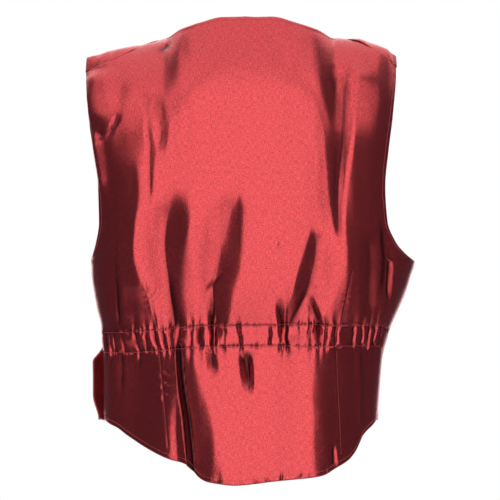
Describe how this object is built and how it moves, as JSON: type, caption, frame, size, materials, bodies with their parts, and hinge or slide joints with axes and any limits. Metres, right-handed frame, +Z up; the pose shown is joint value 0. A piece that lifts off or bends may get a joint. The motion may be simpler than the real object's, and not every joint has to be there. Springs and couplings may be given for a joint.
{
  "type": "waistcoat",
  "caption": "Sleeveless satin waistcoat in its worn, hollow form, with a gathered elastic back waist, long curved back hem, V neck and a buttoned front.",
  "frame": {"origin": "midway between the two points where the shoulder seams meet the neckline, where a wearer's shoulders hold the garment", "axes": "+Z up along the wearer's height, front of the garment towards -Y, the wearer's left towards +X"},
  "size_m": [0.4261, 0.2478, 0.5915],
  "materials": {
    "red_satin": "satin",
    "red_satin_front": "satin",
    "red_satin_right": "satin",
    "casing_satin": "satin",
    "button_satin_1": "satin",
    "button_satin_2": "satin",
    "button_satin_3": "satin",
    "button_satin_4": "satin",
    "button_satin_5": "satin"
  },
  "bodies": {
    "root": {"back": "red_satin", "front_left": "red_satin_front", "front_right": "red_satin_right", "waist_casing": "casing_satin", "button_1": "button_satin_1", "button_2": "button_satin_2", "button_3": "button_satin_3", "button_4": "button_satin_4", "button_5": "button_satin_5"}
  },
  "joints": []
}
